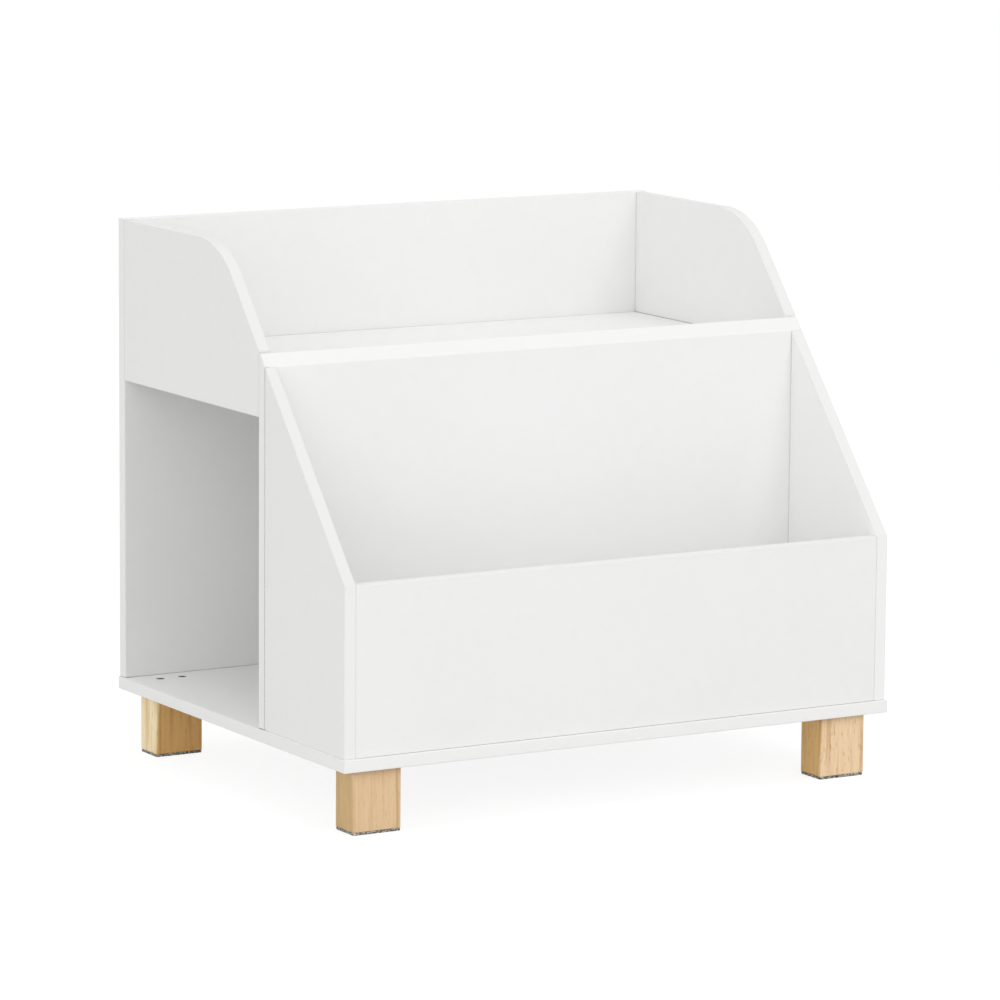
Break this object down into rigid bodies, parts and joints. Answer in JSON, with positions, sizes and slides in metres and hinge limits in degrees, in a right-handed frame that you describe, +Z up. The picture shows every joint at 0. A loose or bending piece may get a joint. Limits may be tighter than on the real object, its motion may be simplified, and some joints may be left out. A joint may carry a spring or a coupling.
{
  "type": "kids bookcase",
  "caption": "Low white children's bookcase on wooden legs, with a sloping book trough in front, a toy tray on top and an open cubby in each side.",
  "frame": {"origin": "on the floor, under the middle of the base board's outline", "axes": "+Z up, -Y towards the front with the book trough, +X to the right as seen from the front"},
  "size_m": [0.6, 0.46, 0.5275],
  "materials": {
    "white_board": "white lacquered board, satin",
    "pine": "clear lacquered pine, upright grain",
    "felt": "grey needled felt",
    "black_steel": "black oxide, satin",
    "zinc_plate": "bright zinc plate",
    "cast_zinc": "tumbled zinc casting",
    "beech": "raw beech"
  },
  "bodies": {
    "root": {"base_board": "white_board", "back_panel": "white_board", "divider_panel": "white_board", "front_panel": "white_board", "left_front_side": "white_board", "right_front_side": "white_board", "left_tray_side": "white_board", "right_tray_side": "white_board", "tray_floor": "white_board", "centre_partition": "white_board", "front_left_leg": "pine", "front_right_leg": "pine", "rear_left_leg": "pine", "rear_right_leg": "pine", "front_left_felt_pad": "felt", "front_right_felt_pad": "felt", "rear_left_felt_pad": "felt", "rear_right_felt_pad": "felt", "leg_screws": "black_steel", "base_screws": "zinc_plate", "back_screws": "zinc_plate", "front_panel_cam_locks": "cast_zinc", "front_panel_cam_bolts": "zinc_plate", "front_side_cam_locks": "cast_zinc", "front_side_cam_bolts": "zinc_plate", "tray_floor_cam_locks": "cast_zinc", "tray_floor_cam_bolts": "zinc_plate", "tray_side_cam_locks": "cast_zinc", "tray_side_cam_bolts": "zinc_plate", "partition_cam_locks": "cast_zinc", "partition_cam_bolts": "zinc_plate", "base_dowels": "beech", "back_dowels": "beech", "divider_dowels": "beech", "front_panel_dowels": "beech", "tray_end_dowels": "beech", "partition_top_dowels": "beech"}
  },
  "joints": []
}
